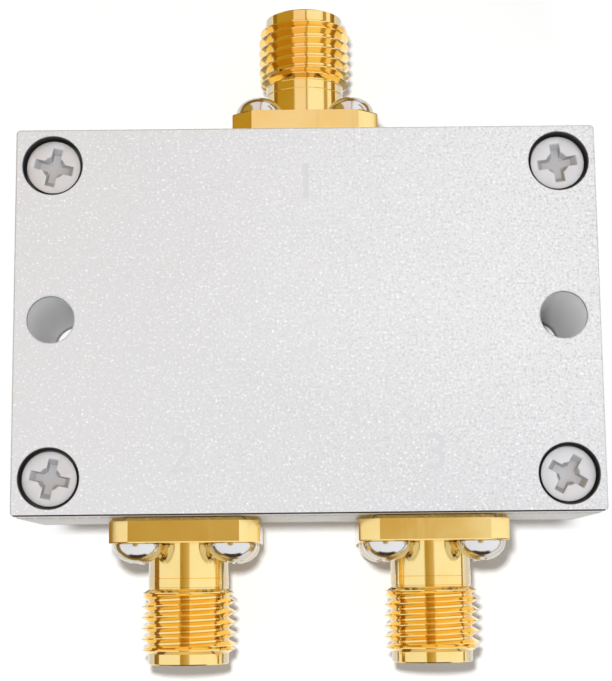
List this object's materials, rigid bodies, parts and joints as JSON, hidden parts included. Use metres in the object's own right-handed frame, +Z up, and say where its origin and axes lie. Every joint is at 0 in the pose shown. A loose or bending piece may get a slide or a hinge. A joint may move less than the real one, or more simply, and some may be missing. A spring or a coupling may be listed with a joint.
{
  "type": "rf power splitter",
  "caption": "Flat milled aluminium box that splits a radio-frequency signal between output jacks, with a screwed cover, gold-plated threaded coaxial jacks and through holes for fastening.",
  "frame": {"origin": "middle of the body's underside", "axes": "+Z up through the cover, +Y out of the common jack, -Y out of the two output jacks, +X along the body's length towards the second output"},
  "size_m": [0.0382, 0.0444, 0.0127],
  "materials": {
    "body": "bead blasted and clear plated",
    "jack": "gold plated, polished",
    "screw": "nickel plated",
    "insulator": "satin white",
    "laminate": "matt woven laminate",
    "track": "plated copper",
    "chip": "glazed"
  },
  "bodies": {
    "root": {"housing": "body", "cover": "body", "cover_screws": "screw", "circuit_board": "laminate", "signal_track": "track", "resistor_1": "chip", "resistor_2": "chip", "resistor_3": "chip", "board_screws": "screw", "common_connector": "jack", "common_insulator": "insulator", "common_contact": "jack", "common_screws": "screw", "output_1_connector": "jack", "output_1_insulator": "insulator", "output_1_contact": "jack", "output_1_screws": "screw", "output_2_connector": "jack", "output_2_insulator": "insulator", "output_2_contact": "jack", "output_2_screws": "screw"}
  },
  "joints": []
}
